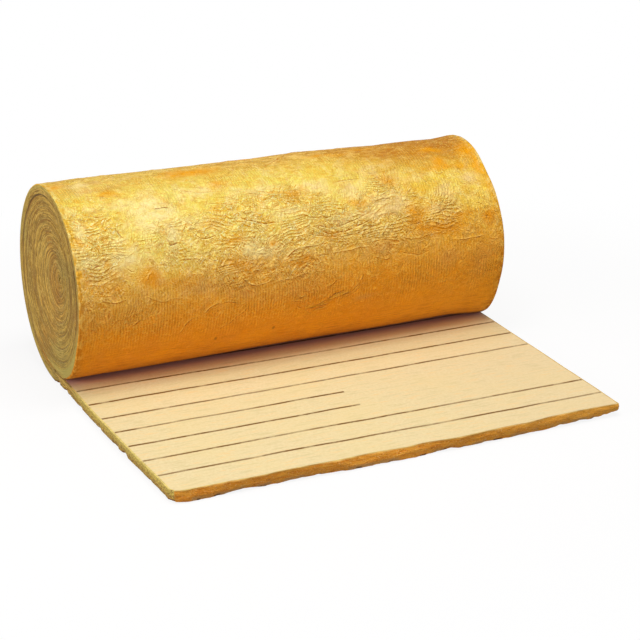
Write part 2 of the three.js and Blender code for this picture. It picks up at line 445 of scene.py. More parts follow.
def lip(x, s, level):
    """How far the wool stands out beyond the paper's edge at the cross cut, most of all low down."""
    low = (1 - np.clip(level, 0, 1)) ** 1.3
    fringe = 0.0010 + 0.0012 * noise(x * 55, 0.2, 0, 39)
    beyond = along_outline(x, WOOL_EDGE) - along_outline(x, PAPER_EDGE)
    return (beyond * low + fringe) * (1 - smooth(0.0, 0.03, s))


def cut_relief(x, level):
    """How far the face of the cross cut stands out."""
    soft = 0.0022 * fbm(x * 16, level * 1.6, 0, 35, 3)
    layers = 0.0012 * noise(x * 35, level * 7, 0, 36)
    belly = 0.003 * np.sin(np.pi * np.clip(level * 1.05, 0, 1)) * (1 + 0.5 * noise(x * 6, 1.5, 0, 37))
    scraps = 0.008 * np.maximum(0, noise(x * 13, 4.5, 0, 38) - 0.45) * np.maximum(0, 1 - level * 3.2)
    return soft + layers + belly + scraps


def end_relief(v):
    """The cut sides aren't quite flat: each turn stands a little in or out, and its layers with it."""
    end = np.sign(v.x)
    turn = 0.0016 * noise(v.along * 1.9, 0.5, end, 41)
    layer = 0.0008 * noise(v.along * 9, v.depth * 190, end, 43)
    rough = 0.0006 * noise(v.along * 60, v.depth * 300, end, 45)
    belly = 0.0012 * np.sin(np.pi * np.clip(v.depth / WOOL, 0, 1))
    return turn + layer + rough + np.where(v.flat, belly * 1.5 - 0.0005, belly * 0.4)


def torn_side(v):
    """The lower edge of the laid-out sheet's sides is worn back here and there."""
    worn = np.maximum(0, fbm(v.along * 31, 0.9, np.sign(v.x), 47, 3, 0.85) + 0.10) * SIDE_WEAR + 0.001
    return np.where(v.flat, worn * (1 - np.clip(v.level, 0, 1)) ** 1.5, 0)


# ---------------------------------------------------------------- mesh making

def zipper(first, second):
    """Triangles between two lines of vertex numbers that run the same way."""
    i = j = 0
    last_i, last_j = len(first) - 1, len(second) - 1
    out = []
    while i < last_i or j < last_j:
        if j == last_j or (i < last_i and (i + 1) / last_i <= (j + 1) / last_j):
            out.append((first[i], first[i + 1], second[j]))
            i += 1
        else:
            out.append((first[i], second[j + 1], second[j]))
            j += 1
    return np.array(out, np.int64)


def strip(first, second):
    """The same between two lines of equal length."""
    a, b, c, d = first[:-1], first[1:], second[1:], second[:-1]
    return np.concatenate([np.stack([a, b, c], 1), np.stack([a, c, d], 1)])


def join(first, second):
    return strip(first, second) if len(first) == len(second) else zipper(first, second)


def fan(column, flip):
    """Triangles that close a line of vertex numbers, from its first one."""
    out = np.array([(column[0], column[k], column[k + 1]) for k in range(1, len(column) - 1)], np.int64)
    return out[:, ::-1] if flip else out


def line_across(edge, first, count):
    """The x of vertices from side to side: close together at both edges, even in between."""
    edge = np.array(edge)
    between = np.linspace(first, WIDTH - first, count)
    return np.concatenate([edge, between, WIDTH - edge[::-1]]) - WIDTH / 2


def build_mesh(name, verts, parts, uvs, attributes, sharp_deg):
    """parts: [(triangles, material number, key of the UVs)]. uvs: {key: per-vertex UV}."""
    tris = np.concatenate([p[0] for p in parts])
    slots = np.concatenate([np.full(len(p[0]), p[1]) for p in parts])
    mesh = bpy.data.meshes.new(name)
    mesh.vertices.add(len(verts))
    mesh.vertices.foreach_set("co", np.asarray(verts, np.float32).ravel())
    mesh.loops.add(len(tris) * 3)
    mesh.loops.foreach_set("vertex_index", tris.astype(np.int32).ravel())
    mesh.polygons.add(len(tris))
    mesh.polygons.foreach_set("loop_start", np.arange(0, len(tris) * 3, 3, dtype=np.int32))
    mesh.polygons.foreach_set("material_index", slots.astype(np.int32))
    mesh.polygons.foreach_set("use_smooth", np.ones(len(tris), bool))
    layer = mesh.uv_layers.new(name="Band")
    loop_uv = np.concatenate([uvs[p[2]][p[0].ravel()] for p in parts])
    layer.uv.foreach_set("vector", loop_uv.astype(np.float32).ravel())
    for key, values in attributes.items():
        data = mesh.attributes.new(key, "FLOAT_VECTOR", "POINT")
        data.data.foreach_set("vector", np.asarray(values, np.float32).ravel())
    mesh.update(calc_edges=True)
    mesh.validate()
    mesh.set_sharp_from_angle(angle=math.radians(sharp_deg))
    obj = bpy.data.objects.new(name, mesh)
    bpy.context.scene.collection.objects.link(obj)
    return obj


# ---------------------------------------------------------------- the wool

ROUND_EDGE = [0, 0.0012, 0.003, 0.0065]
SQUARE_EDGE = [0, 0.004]
SIDE_LEVELS = np.array([0.10, 0.28, 0.5, 0.72, 0.9])
CUT_LEVELS = [0.06, 0.16, 0.29, 0.43, 0.57, 0.71, 0.84, 0.94]


class Grid:
    """Lines of vertices across the band: the number of its station, its x and its level for each vertex."""

    def __init__(self):
        self.count = 0
        self.chunks = []
        self.outer, self.inner, self.left, self.right = [], [], [], []

    def add(self, row, xs, level):
        numbers = np.arange(self.count, self.count + len(xs))
        self.count += len(xs)
        self.chunks.append((np.full(xs.shape, row), xs, np.broadcast_to(level, xs.shape)))
        return numbers

    def column(self, i, side, end):
        """Up one side at a station, from the bare face to the paper's."""
        return np.concatenate([[self.outer[i][end]], side[i], [self.inner[i][end]]])


def wool_grid(flat, s, shown):
    """Both faces and both sides at each station, then the cross cut from its lower edge to its upper one."""
    skin_x = line_across(ROUND_EDGE, 0.0115, 230)
    front_x = line_across(ROUND_EDGE, 0.0105, 260)
    sheet_x = line_across(SQUARE_EDGE, 0.024, 49)
    plain_x = line_across(SQUARE_EDGE, 0.1, 7)
    g = Grid()
    for i in range(len(flat)):
        over = sheet_x if flat[i] else plain_x
        under = skin_x if shown[i] else over
        if flat[i] and s[i] < 0.03:
            over = under = front_x
        g.outer.append(g.add(i, under, 0.0))
        g.inner.append(g.add(i, over, 1.0))
        g.left.append(g.add(i, np.full(SIDE_LEVELS.shape, -WIDTH / 2), SIDE_LEVELS))
        g.right.append(g.add(i, np.full(SIDE_LEVELS.shape, WIDTH / 2), SIDE_LEVELS))
    g.cut_start = g.count
    g.cut = [g.add(0, front_x[1:-1], level) for level in CUT_LEVELS]
    return g


def wool_points(v):
    """Where each vertex of the wool lies. It also notes how deep each lies under the bare face."""
    face = face_depth(v)
    v.depth = face + (v.wool - face) * v.level
    wave = flat_wave(v.x, v.s) * v.level * v.flat
    points = place(v.flat, v.s, v.t, v.depth, v.x, wave)
    # the last of the outer turn rests on the sheet, and doesn't sink into it
    resting = v.on_skin & (v.t > math.pi) & (v.level < 1)
    sheet_top = (WOOL + PAPER + GAP) * (1 + fatness(v.x) / ROLL_R) + 0.0012
    points[:, 2] = np.where(resting, np.maximum(points[:, 2], sheet_top + 0.012 * v.level), points[:, 2])
    at_side = (v.level > 0) & (v.level < 1) & ~v.in_cut
    torn = torn_side(v)
    points[:, 0] += np.where(at_side, np.sign(v.x) * (end_relief(v) - torn), 0)
    foot = v.flat & (v.level == 0)
    to_side = WIDTH / 2 - np.abs(v.x)
    points[:, 0] -= np.where(foot, np.sign(v.x) * torn * (1 - smooth(0.0, 0.05, to_side)), 0)
    forward = np.where(v.in_cut, cut_relief(v.x, v.level), 0)
    points[:, 1] -= forward + np.where(v.flat, lip(v.x, v.s, v.level), 0)
    return points


def wool_faces(g, bare):
    """Groups of triangles, each with its material's number and the key of its UVs."""
    skin, hidden, sides = [], [], []
    for i in range(len(g.outer) - 1):
        (skin if bare[i] else hidden).append(join(g.outer[i + 1], g.outer[i]))
        hidden.append(join(g.inner[i], g.inner[i + 1]))
        sides.append(strip(g.column(i, g.left, 0), g.column(i + 1, g.left, 0)))
        sides.append(strip(g.column(i + 1, g.right, -1), g.column(i, g.right, -1)))
    chain = [g.outer[0][1:-1]] + g.cut + [g.inner[0][1:-1]]
    front = [strip(lower, higher) for lower, higher in zip(chain[:-1], chain[1:])]
    front.append(zipper(g.column(0, g.left, 0), np.array([line[0] for line in chain])))
    front.append(zipper(np.array([line[-1] for line in chain]), g.column(0, g.right, -1)))
    # the inner end, at the eye
    tail = [join(g.inner[-1], g.outer[-1])]
    tail += [fan(g.column(-1, g.left, 0), False), fan(g.column(-1, g.right, -1), True)]
    groups = (
        (skin, 0, "face"), (hidden, 1, "side"), (sides, 1, "side"), (front, 2, "cut"), (tail, 1, "side"),
    )
    return [(np.concatenate(triangles), material, key) for triangles, material, key in groups]


def wool_marks(v):
    """What the skin's material needs to know about each vertex."""
    near, power, _ = fold_fields(v.x, v.arc)
    crowd = crumpled(v.x, v.arc) * v.on_skin
    tone = np.stack([blobs(v.x, v.arc, patches) for patches in (PALE, ORANGE, GREY)], 1)
    ribbed = np.zeros((len(v.x), 3))
    ribbed[:, 0] = blobs(v.x, v.arc, RIBBED) * v.on_skin
    fold = np.stack([near * 100, power * v.on_skin, crowd], 1)
    return {"tone": tone * v.on_skin[:, None], "fold": fold, "ribbed": ribbed}


def wool_object():
    """The whole mat as one closed mesh, from the cut to the eye."""
    # finest where the roll faces up and out, coarser on its underside and back
    steps = [(0.6, 0.020), (2.7, 0.0125), (5.95, 0.0045), (TAU + 1, 0.008)]
    flat, s, t, wool, along = row_arrays(make_rows(0.0085, steps, 6.0, 0.0))
    outer_turn = (~flat) & (t < TAU)
    shown = outer_turn | ((~flat) & (t > TAU - 0.01) & (t < TAU + 0.05))
    g = wool_grid(flat, s, shown)
    row, x, level = (np.concatenate([chunk[k] for chunk in g.chunks]) for k in range(3))
    v = SimpleNamespace(x=x, level=level, flat=flat[row], s=s[row], t=t[row])
    v.wool, v.along = wool[row], along[row]
    v.arc = v.t * ROLL_R
    v.on_skin = outer_turn[row]
    v.in_cut = np.arange(len(x)) >= g.cut_start
    points = wool_points(v)
    uvs = {"face": [v.along, x], "side": [v.along, v.depth], "cut": [x, level * WOOL]}
    uvs = {key: np.stack(pair, 1) for key, pair in uvs.items()}
    return build_mesh("wool_blanket", points, wool_faces(g, shown | flat), uvs, wool_marks(v), 50)


# ---------------------------------------------------------------- the paper

def paper_object():
    """The paper as one closed mesh with a thickness."""
    rows = make_rows(0.0125, [(TAU + 1, 0.012)], 6.0, PAPER_END_MARGIN)
    flat, s, t, wool, along = row_arrays(rows)
    fine_x = line_across([PAPER_MARGIN], 0.024, 49)
    plain_x = np.linspace(-WIDTH / 2 + PAPER_MARGIN, WIDTH / 2 - PAPER_MARGIN, 9)
    verts, uv, under, top = [], [], [], []
    total = 0
    for i in range(len(rows)):
        xs = fine_x if flat[i] else plain_x
        lift = flat_wave(xs, s[i]) if flat[i] else 0.0
        for depth, store in ((wool[i] + GAP, under), (wool[i] + GAP + PAPER, top)):
            station = (np.full(xs.shape, value) for value in (flat[i], s[i], t[i], depth))
            verts.append(place(*station, xs, lift))
            uv.append(np.stack([np.full(xs.shape, along[i]), xs], 1))
            store.append(np.arange(total, total + len(xs)))
            total += len(xs)
    faces = []
    for i in range(len(rows) - 1):
        faces.append(join(under[i + 1], under[i]))
        faces.append(join(top[i], top[i + 1]))
        faces.append(strip(*(np.array([under[k][0], top[k][0]]) for k in (i, i + 1))))
        faces.append(strip(*(np.array([under[k][-1], top[k][-1]]) for k in (i + 1, i))))
    faces.append(strip(under[0], top[0]))
    faces.append(strip(top[-1], under[-1]))
    parts = [(np.concatenate(faces), 0, "face")]
    return build_mesh("kraft_paper", np.concatenate(verts), parts, {"face": np.concatenate(uv)}, {}, 40)


# ---------------------------------------------------------------- materials

RIB_PITCH = 0.0077
GATHER_PITCH = 0.0105
DARK_BITS = ((-0.0574, 2.165), (-0.2189, 2.170))  # x, and metres along the band


class Nodes:
    """Short names for the few kinds of node used here, and the colour as it is so far."""

    def __init__(self, name):
        self.material = bpy.data.materials.new(name)
        self.material.use_nodes = True
        self.tree = self.material.node_tree
        self.tree.nodes.clear()
        self.output = self.tree.nodes.new("ShaderNodeOutputMaterial")
        self.shader = self.tree.nodes.new("ShaderNodeBsdfPrincipled")
        self.tree.links.new(self.shader.outputs[0], self.output.inputs[0])
        self.base = None
        self.low = None

    def put(self, socket, value):
        if isinstance(value, bpy.types.NodeSocket):
            self.tree.links.new(value, socket)
        elif value is not None:
            socket.default_value = value

    def calc(self, op, a, b=None, c=None):
        node = self.tree.nodes.new("ShaderNodeMath")
        node.operation = op
        for socket, value in zip(node.inputs, (a, b, c)):
            self.put(socket, value)
        return node.outputs[0]

    add = partialmethod(calc, "ADD")
    sub = partialmethod(calc, "SUBTRACT")
    mul = partialmethod(calc, "MULTIPLY")
    madd = partialmethod(calc, "MULTIPLY_ADD")
    power = partialmethod(calc, "POWER")
    larger = partialmethod(calc, "MAXIMUM")
    size = partialmethod(calc, "ABSOLUTE")
    sign = partialmethod(calc, "SIGN")
    sine = partialmethod(calc, "SINE")
    fract = partialmethod(calc, "FRACT")

    def wave(self, phase, turns=1.0):
        """0 to 1 and back, once for each turn."""
        return self.madd(self.sine(self.mul(phase, TAU * turns)), 0.5, 0.5)

    def vmath(self, op, a, b=None):
        node = self.tree.nodes.new("ShaderNodeVectorMath")
        node.operation = op
        self.put(node.inputs[0], a)
        self.put(node.inputs[1], b)
        return node.outputs["Value" if op == "LENGTH" else "Vector"]

    def uv(self):
        node = self.tree.nodes.new("ShaderNodeUVMap")
        node.uv_map = "Band"
        return node.outputs[0]

    def attribute(self, name):
        node = self.tree.nodes.new("ShaderNodeAttribute")
        node.attribute_name = name
        return node.outputs["Vector"]

    def place(self):
        return self.tree.nodes.new("ShaderNodeTexCoord").outputs["Object"]

    def facing(self):
        return self.tree.nodes.new("ShaderNodeTexCoord").outputs["Normal"]

    def split(self, vector):
        node = self.tree.nodes.new("ShaderNodeSeparateXYZ")
        self.put(node.inputs[0], vector)
        return node.outputs[0], node.outputs[1], node.outputs[2]

    def combine(self, x, y, z=0.0):
        node = self.tree.nodes.new("ShaderNodeCombineXYZ")
        for socket, value in zip(node.inputs, (x, y, z)):
            self.put(socket, value)
        return node.outputs[0]

    def moved(self, vector, x, y):
        return self.vmath("ADD", vector, self.combine(x, y))

    def noise(self, vector, scale, detail, rough, distortion=0.0):
        node = self.tree.nodes.new("ShaderNodeTexNoise")
        self.put(node.inputs["Vector"], vector)
        self.put(node.inputs["Scale"], scale)
        self.put(node.inputs["Detail"], detail)
        self.put(node.inputs["Roughness"], rough)
        self.put(node.inputs["Distortion"], distortion)
        return node.outputs[0]

    def grain(self, a, per_a, b, per_b, detail, rough, distortion=0.0):
        """Noise that runs per_a and per_b times in a metre of a and b."""
        stretched = self.combine(self.mul(a, per_a), self.mul(b, per_b))
        return self.noise(stretched, 1.0, detail, rough, distortion)

    def ramp(self, value, lo, hi, out_lo=0.0, out_hi=1.0):
        """A soft step from out_lo to out_hi."""
        node = self.tree.nodes.new("ShaderNodeMapRange")
        node.interpolation_type = "SMOOTHSTEP"
        for socket, v in zip(node.inputs, (value, lo, hi, out_lo, out_hi)):
            self.put(socket, v)
        return node.outputs[0]

    def fall(self, value, lo, hi):
        return self.ramp(value, lo, hi, 1.0, 0.0)

    def near(self, value, level, lo, hi):
        """1 where the value is within lo of the level, 0 from hi on."""
        return self.fall(self.size(self.sub(value, level)), lo, hi)

    def mix(self, factor, a, b, blend="MIX"):
        node = self.tree.nodes.new("ShaderNodeMix")
        node.data_type = "RGBA"
        node.blend_type = blend
        self.put(node.inputs[0], factor)
        for socket, value in zip((node.inputs[6], node.inputs[7]), (a, b)):
            self.put(socket, value if isinstance(value, bpy.types.NodeSocket) else colour(value))
        return node.outputs[2]

    def tint(self, factor, over, low_over=None):
        """Lay a colour over the base, or one where the roll faces up and another low down."""
        over = over if low_over is None else self.mix(self.low, over, low_over)
        self.base = self.mix(factor, self.base, over)

    def bump(self, height, strength, distance):
        node = self.tree.nodes.new("ShaderNodeBump")
        node.inputs["Strength"].default_value = strength
        node.inputs["Distance"].default_value = distance
        self.put(node.inputs["Height"], height)
        return node.outputs[0]

    def finish(self, roughness, normal, sheen=0.0, sheen_tint=(1, 1, 1), gloss=0.25):
        self.put(self.shader.inputs["Base Color"], self.base)
        self.put(self.shader.inputs["Roughness"], roughness)
        self.put(self.shader.inputs["Normal"], normal)
        self.shader.inputs["Specular IOR Level"].default_value = gloss
        self.shader.inputs["Sheen Weight"].default_value = sheen
        self.shader.inputs["Sheen Roughness"].default_value = 0.4
        self.shader.inputs["Sheen Tint"].default_value = (*sheen_tint, 1)
        return self.material


def colour(rgb):
    """An sRGB colour in 0 to 255, as Blender's linear one."""
    out = []
    for v in rgb:
        v /= 255
        out.append(v / 12.92 if v <= 0.04045 else ((v + 0.055) / 1.055) ** 2.4)
    return (*out, 1.0)


def wool_skin():
    """The bare felt of the outer turn. What later steps need is kept on n."""
    n = Nodes("wool_skin")
    n.at = n.uv()
    n.along, n.across, _ = n.split(n.at)
    n.pale, n.orange, n.grey = n.split(n.attribute("tone"))
    n.fold_side, n.fold_height, n.crowd = n.split(n.attribute("fold"))
    n.ribbed, _, _ = n.split(n.attribute("ribbed"))
    _, n.deep, n.height = n.split(n.place())
    n.above = n.ramp(n.height, 0.31, 0.38)
    skin_ribs(n)
    skin_gathers(n)
    skin_creases(n)
    skin_folds(n)
    skin_flecks(n)
    skin_bump(n)
    skin_ground(n)
    skin_top(n)
    skin_first_patches(n)
    skin_painted_relief_light(n)
    skin_painted_light_by_facing(n)
    skin_strokes(n)
    skin_wrinkles(n)
    skin_last_patches(n)
    skin_ends(n)
    skin_stripes(n)
    skin_dark_bits(n)
    skin_foot(n)
    # painted highlight and painted shade on the two sides of each fold
    n.tint(n.ramp(n.bright, 0.1, 1.2, 0.0, 0.7), (255, 242, 166), (250, 188, 84))
    n.tint(n.ramp(n.shade, 0.1, 1.1, 0.0, 0.8), (190, 100, 20), (160, 76, 6))
    n.base = n.mix(1.0, n.base, (255, 254, 247), "MULTIPLY")
    return n.finish(0.85, n.normal, 0.05, (1.0, 0.80, 0.40), 0.10)


def skin_ribs(n):
    """Ribs round the roll, which wander into swirls where the skin is gathered."""
    lean = n.grain(n.along, 2.2, n.across, 4.5, 1.0, 0.5)
    lean = n.mul(lean, n.madd(n.above, 4.0, 1.2))
    twist = n.mul(n.noise(n.at, 36, 1.5, 0.5), n.madd(n.crowd, 4.2, 0.7))
    phase = n.madd(n.across, 1 / RIB_PITCH, n.add(lean, twist))
    n.rib = n.power(n.wave(phase), 1.2)
    n.broken = n.ramp(n.grain(n.along, 75, n.across, 130, 2, 0.6), 0.30, 0.55, 0.25, 1.0)
    mask = n.mul(n.ramp(n.noise(n.at, 9.0, 2, 0.6), 0.34, 0.56, 0.4, 1.0), n.broken)
    n.belly = n.mul(n.ramp(n.height, 0.09, 0.16), n.fall(n.height, 0.28, 0.36))
    patchy = n.noise(n.moved(n.at, 2.7, 4.4), 8.0, 2, 0.6)
    patchy = n.ramp(patchy, 0.46, 0.62, n.ramp(n.across, -0.2, 0.3, 0.24, 0.5), 1.1)
    islands = n.noise(n.moved(n.at, 6.1, 2.3), 15.0, 3, 0.6)
    islands = n.ramp(islands, 0.46, 0.60, n.ramp(n.across, -0.3, 0.2, 0.50, 0.14), 1.0)
    zone = n.madd(n.above, n.sub(patchy, islands), islands)
    zone = n.larger(zone, n.mul(n.ribbed, 1.25))
    zone = n.mul(zone, n.ramp(n.height, 0.10, 0.21, 0.08, 1.0))
    n.strong = n.mul(n.belly, 0.12)
    n.rib_mask = n.mul(n.mul(mask, zone), n.add(n.strong, 1.0))


def skin_gathers(n):
    """Gathers that run along the roll, and others that curl."""
    sway = n.mul(n.grain(n.along, 9, n.across, 5, 2.0, 0.55), 13.0)
    n.gather = n.power(n.wave(n.madd(n.along, 1 / GATHER_PITCH, sway)), 2.6)
    mask = n.ramp(n.noise(n.moved(n.at, 5.3, 1.9), 15.0, 2, 0.6), 0.42, 0.60)
    n.gather_mask = n.mul(n.mul(mask, n.broken), n.madd(n.crowd, 0.95, 0.08))
    curls = n.noise(n.moved(n.at, 3.1, 7.7), 12, 1.4, 0.5, 0.3)
    n.swirl = n.power(n.wave(curls, 9.0), 2.2)
    n.swirl_mask = n.mul(n.crowd, n.ramp(n.noise(n.at, 17.0, 2, 0.5), 0.44, 0.62))


def skin_creases(n):
    """Sharp little creases, longer along the roll."""
    n.stretched = n.combine(n.along, n.mul(n.across, 0.6))
    wide = n.near(n.noise(n.stretched, 30, 1.0, 0.5, 1.0), 0.47, 0.0, 0.026)
    thin = n.near(n.noise(n.stretched, 52, 1.0, 0.5, 1.3), 0.53, 0.0, 0.034)
    n.creases = n.mul(n.larger(wide, n.mul(thin, 0.8)), n.madd(n.crowd, 0.9, 0.12))


def skin_folds(n):
    """The folds of the mesh: a light crest or a dark furrow, with a painted highlight on one side and painted
    shade on the other.
    """
    n.crest = n.mul(n.fall(n.size(n.fold_side), 0.0, 0.30), n.fold_height)
    facing = n.mul(n.fold_side, n.sign(n.fold_height))
    power = n.mul(n.size(n.fold_height), n.ramp(n.noise(n.at, 75, 3, 0.65), 0.40, 0.58, 0.12, 1.0))
    n.bright = n.mul(n.fall(n.size(n.add(facing, 0.17)), 0.05, 0.26), power)
    n.shade = n.mul(n.near(facing, 0.17, 0.03, 0.24), power)


def skin_flecks(n):
    """Flecks of felt, some lying along the roll and some round it."""
    tilt = n.mul(n.noise(n.at, 30, 1, 0.5), 0.05)
    lying = n.grain(n.add(n.along, tilt), 330, n.across, 90, 1, 0.5, 0.6)
    upright = n.noise(n.combine(n.mul(n.along, 90), n.mul(n.add(n.across, tilt), 330)), 1.0, 1, 0.5, 0.6)
    which = n.ramp(n.noise(n.at, 34, 2, 0.5), 0.44, 0.56)
    n.fleck = n.ramp(n.madd(which, n.sub(lying, upright), upright), 0.48, 0.68)


def skin_bump(n):
    """The relief of all that came before, and how far it turns the surface up or down."""
    felt = n.noise(n.at, 190, 3, 0.65)
    n.patch = n.noise(n.stretched, 70, 3, 0.6, 0.5)
    fine = n.mul(n.rib, n.mul(n.rib_mask, 1.25))
    fine = n.madd(n.gather, n.mul(n.gather_mask, 1.5), fine)
    fine = n.madd(n.swirl, n.mul(n.swirl_mask, 1.7), fine)
    fine = n.madd(n.creases, 1.1, fine)
    calm = n.ramp(n.height, 0.08, 0.20, 0.55, 1.0)
    n.middle = n.mul(n.ramp(n.height, 0.12, 0.22), n.fall(n.height, 0.34, 0.42))
    n.middle = n.mul(n.middle, n.madd(n.crowd, 0.6, 0.5))
    n.fine = n.madd(n.fleck, n.mul(calm, n.madd(n.middle, 0.4, 0.6)), fine)
    relief = n.madd(n.crest, 1.3, n.fine)
    relief = n.madd(felt, 0.5, relief)
    relief = n.madd(n.patch, n.madd(n.crowd, 1.3, 0.4), relief)
    n.normal = n.bump(relief, 1.0, 0.0016)
    _, _, n.lift = n.split(n.vmath("SUBTRACT", n.normal, n.facing()))


def skin_ground(n):
    """Lemon above, more and more orange below and towards the back: partly the felt's own tone, partly
    painted shade and warm bounce light.
    """
    cloud = n.noise(n.at, 9, 4, 0.6, 0.4)
    n.streak = n.grain(n.along, 60, n.across, 26, 3, 0.65, 0.4)
    # towards the back the orange reaches higher: painted shade there
    turned_away = n.ramp(n.deep, AXIS_Y + 0.06, AXIS_Y + 0.24, n.ramp(n.across, -0.1, 0.45, 0.0, 0.038), 0.14)
    n.low = n.fall(n.sub(n.height, turned_away), 0.17, 0.43)
    n.base = n.mix(n.ramp(cloud, 0.34, 0.66), (240, 206, 58), (244, 228, 100))
    n.tint(n.ramp(n.across, -0.05, 0.55, 0.78, 0.0), (236, 233, 116))
    n.tint(n.ramp(n.streak, 0.48, 0.72, 0.0, 0.6), (230, 172, 36))
    soft = n.noise(n.moved(n.at, 4.7, 8.2), 24, 3, 0.6, 0.6)
    n.tint(n.ramp(soft, 0.48, 0.62, 0.0, n.ramp(n.across, -0.1, 0.3, 0.70, 0.45)), (246, 238, 158))
    n.tint(n.ramp(soft, 0.30, 0.46, 0.65, 0.0), (230, 176, 40))
    n.tint(n.mul(n.mul(n.crowd, n.ramp(n.patch, 0.40, 0.62)), 0.4), (232, 170, 66))
    under = n.mix(n.ramp(cloud, 0.35, 0.7), (246, 154, 18), (235, 143, 24))
    under = n.mix(n.ramp(n.across, 0.10, 0.55, 0.0, 0.60), under, (250, 174, 46))
    # orange low down: partly the felt's own tone, partly painted shade and bounce light
    n.tint(n.mul(n.low, 0.95), under)


def skin_top(n):
    """Painted shade: the top, seen edge on, is painted darker and more orange towards the far end."""
    reach = n.ramp(n.across, 0.10, 0.46, 0.0, 0.056)
    reach = n.madd(n.noise(n.at, 11, 2, 0.6), 0.06, n.add(n.deep, reach))
    brow = n.mul(n.ramp(n.height, 0.42, 0.47), n.ramp(reach, AXIS_Y - 0.090, AXIS_Y + 0.045))
    brow = n.mul(brow, n.ramp(n.across, -0.5, 0.5, 0.45, 1.0))
    tone = n.mix(n.ramp(n.streak, 0.42, 0.58), (186, 126, 40), (248, 210, 116))
    tone = n.mix(n.ramp(n.across, 0.0, 0.5, 0.0, 0.8), tone, (177, 107, 0))
    tone = n.mix(n.ramp(n.patch, 0.34, 0.46, 0.75, 0.0), tone, (172, 104, 20))
    tone = n.mix(n.ramp(n.patch, 0.55, 0.66, 0.0, 0.6), tone, (248, 210, 120))
    # painted shade along the top
    n.tint(brow, tone)


def skin_first_patches(n):
    n.speck = n.ramp(n.patch, 0.36, 0.62)
    n.tint(n.mul(n.pale, n.madd(n.speck, 0.5, 0.2)), (248, 228, 178))
    n.tint(n.mul(n.orange, n.madd(n.speck, -0.5, 1.0)), (238, 158, 6))
    n.tint(n.mul(n.grey, 0.4), (212, 158, 88))


def skin_painted_relief_light(n):
    """Painted highlights on the relief's crests and flecks, and painted shade in its hollows."""
    # painted highlight on the flecks, high up and in the middle band
    lit = n.mul(n.ramp(n.fleck, 0.35, 0.9), n.larger(n.mul(n.above, 0.42), n.mul(n.middle, 0.5)))
    n.tint(lit, n.mix(n.ramp(n.across, 0.0, 0.35), (252, 236, 130), (252, 222, 108)))
    # painted highlight on the relief's crests
    crest_highlight = n.mul(n.ramp(n.fine, 0.9, 2.4, 0.0, 0.7), n.madd(n.crowd, 0.6, 0.4))
    strength = n.mul(n.ramp(n.height, 0.10, 0.22, 0.5, 1.0), n.ramp(n.across, 0.05, 0.35, 1.0, 0.6))
    crest_highlight = n.mul(crest_highlight, strength)
    n.tint(crest_highlight, (254, 238, 146), (246, 178, 54))
    # painted shade in the relief's hollows
    hollow_shade = n.ramp(n.fine, 0.0, 0.75, n.madd(n.crowd, 0.12, 0.34), 0.0)
    hollow_shade = n.mul(hollow_shade, n.madd(n.strong, 0.8, n.ramp(n.height, 0.07, 0.15, 0.3, 1.0)))
    hollow_shade = n.mul(hollow_shade, n.mul(n.madd(n.above, -0.25, 1.0), n.ramp(n.across, 0.0, 0.3, 1.0, 0.85)))
    n.tint(n.mul(hollow_shade, 0.85), (196, 108, 6))
    pit = n.mul(n.ramp(n.noise(n.at, 210, 2, 0.7, 0.4), 0.56, 0.70), n.madd(n.middle, 0.24, 0.12))
    n.tint(pit, (200, 108, 12))


def skin_painted_light_by_facing(n):
    """Painted light and shade: where the relief faces up it is painted paler, where it faces down a deeper
    orange.
    """
    rough = n.mul(n.madd(n.crowd, 0.30, 0.45), n.ramp(n.height, 0.07, 0.18, 0.62, 1.0))
    # painted highlight where the relief faces up
    n.tint(n.mul(n.ramp(n.lift, 0.02, 0.24), n.mul(rough, 1.2)), (255, 240, 146), (250, 184, 50))
    # painted shade where the relief faces down
    n.tint(n.mul(n.mul(n.fall(n.lift, -0.32, -0.03), rough), 1.25), (244, 172, 34), (222, 112, 0))


def skin_strokes(n):
    """Short strokes: the shadowed mouths of creases, and the glints on their lips."""
    curl = n.mul(n.noise(n.at, 22, 2, 0.6), 0.09)
    slant = n.combine(n.mul(n.add(n.along, curl), 250), n.mul(n.sub(n.across, curl), 120))
    stroke = n.noise(slant, 1.0, 2, 0.55, 0.8)
    busy = n.madd(n.crowd, 0.45, n.madd(n.middle, 0.40, 0.12))
    busy = n.mul(busy, n.mul(n.ramp(n.height, 0.08, 0.18, 0.3, 1.0), n.ramp(n.across, -0.2, 0.2, 1.4, 1.0)))
    n.tint(n.mul(n.ramp(stroke, 0.60, 0.69), busy), (208, 140, 32), (168, 84, 6))
    n.tint(n.mul(n.fall(stroke, 0.32, 0.43), n.mul(busy, 1.25)), (255, 248, 190), (252, 200, 90))


def skin_wrinkles(n):
    """Fine wrinkles everywhere, painted as lines of shade, with a painted highlight on a lip beside each."""
    tiny = n.noise(n.moved(n.stretched, 1.3, 8.8), 78, 1.5, 0.5, 1.4)
    lines = n.near(tiny, 0.48, 0.01, 0.085)
    lines = n.mul(lines, n.ramp(n.noise(n.at, 26, 2, 0.6), 0.40, 0.60, 0.15, 1.0))
    lines = n.mul(lines, n.ramp(n.height, 0.07, 0.20, 0.50, 1.0))
    beside = n.near(tiny, 0.61, 0.01, 0.075)
    # painted shade along the wrinkles
    n.tint(n.mul(lines, n.ramp(n.height, 0.20, 0.32, 0.20, 0.45)), (204, 136, 28), (160, 84, 6))
    # painted highlight on the lip beside each wrinkle
    lips = n.mul(n.mul(beside, n.ramp(lines, 0.0, 0.2, 0.35, 1.0)), n.madd(n.middle, 0.30, 0.14))
    n.tint(lips, (255, 246, 190), (252, 204, 104))


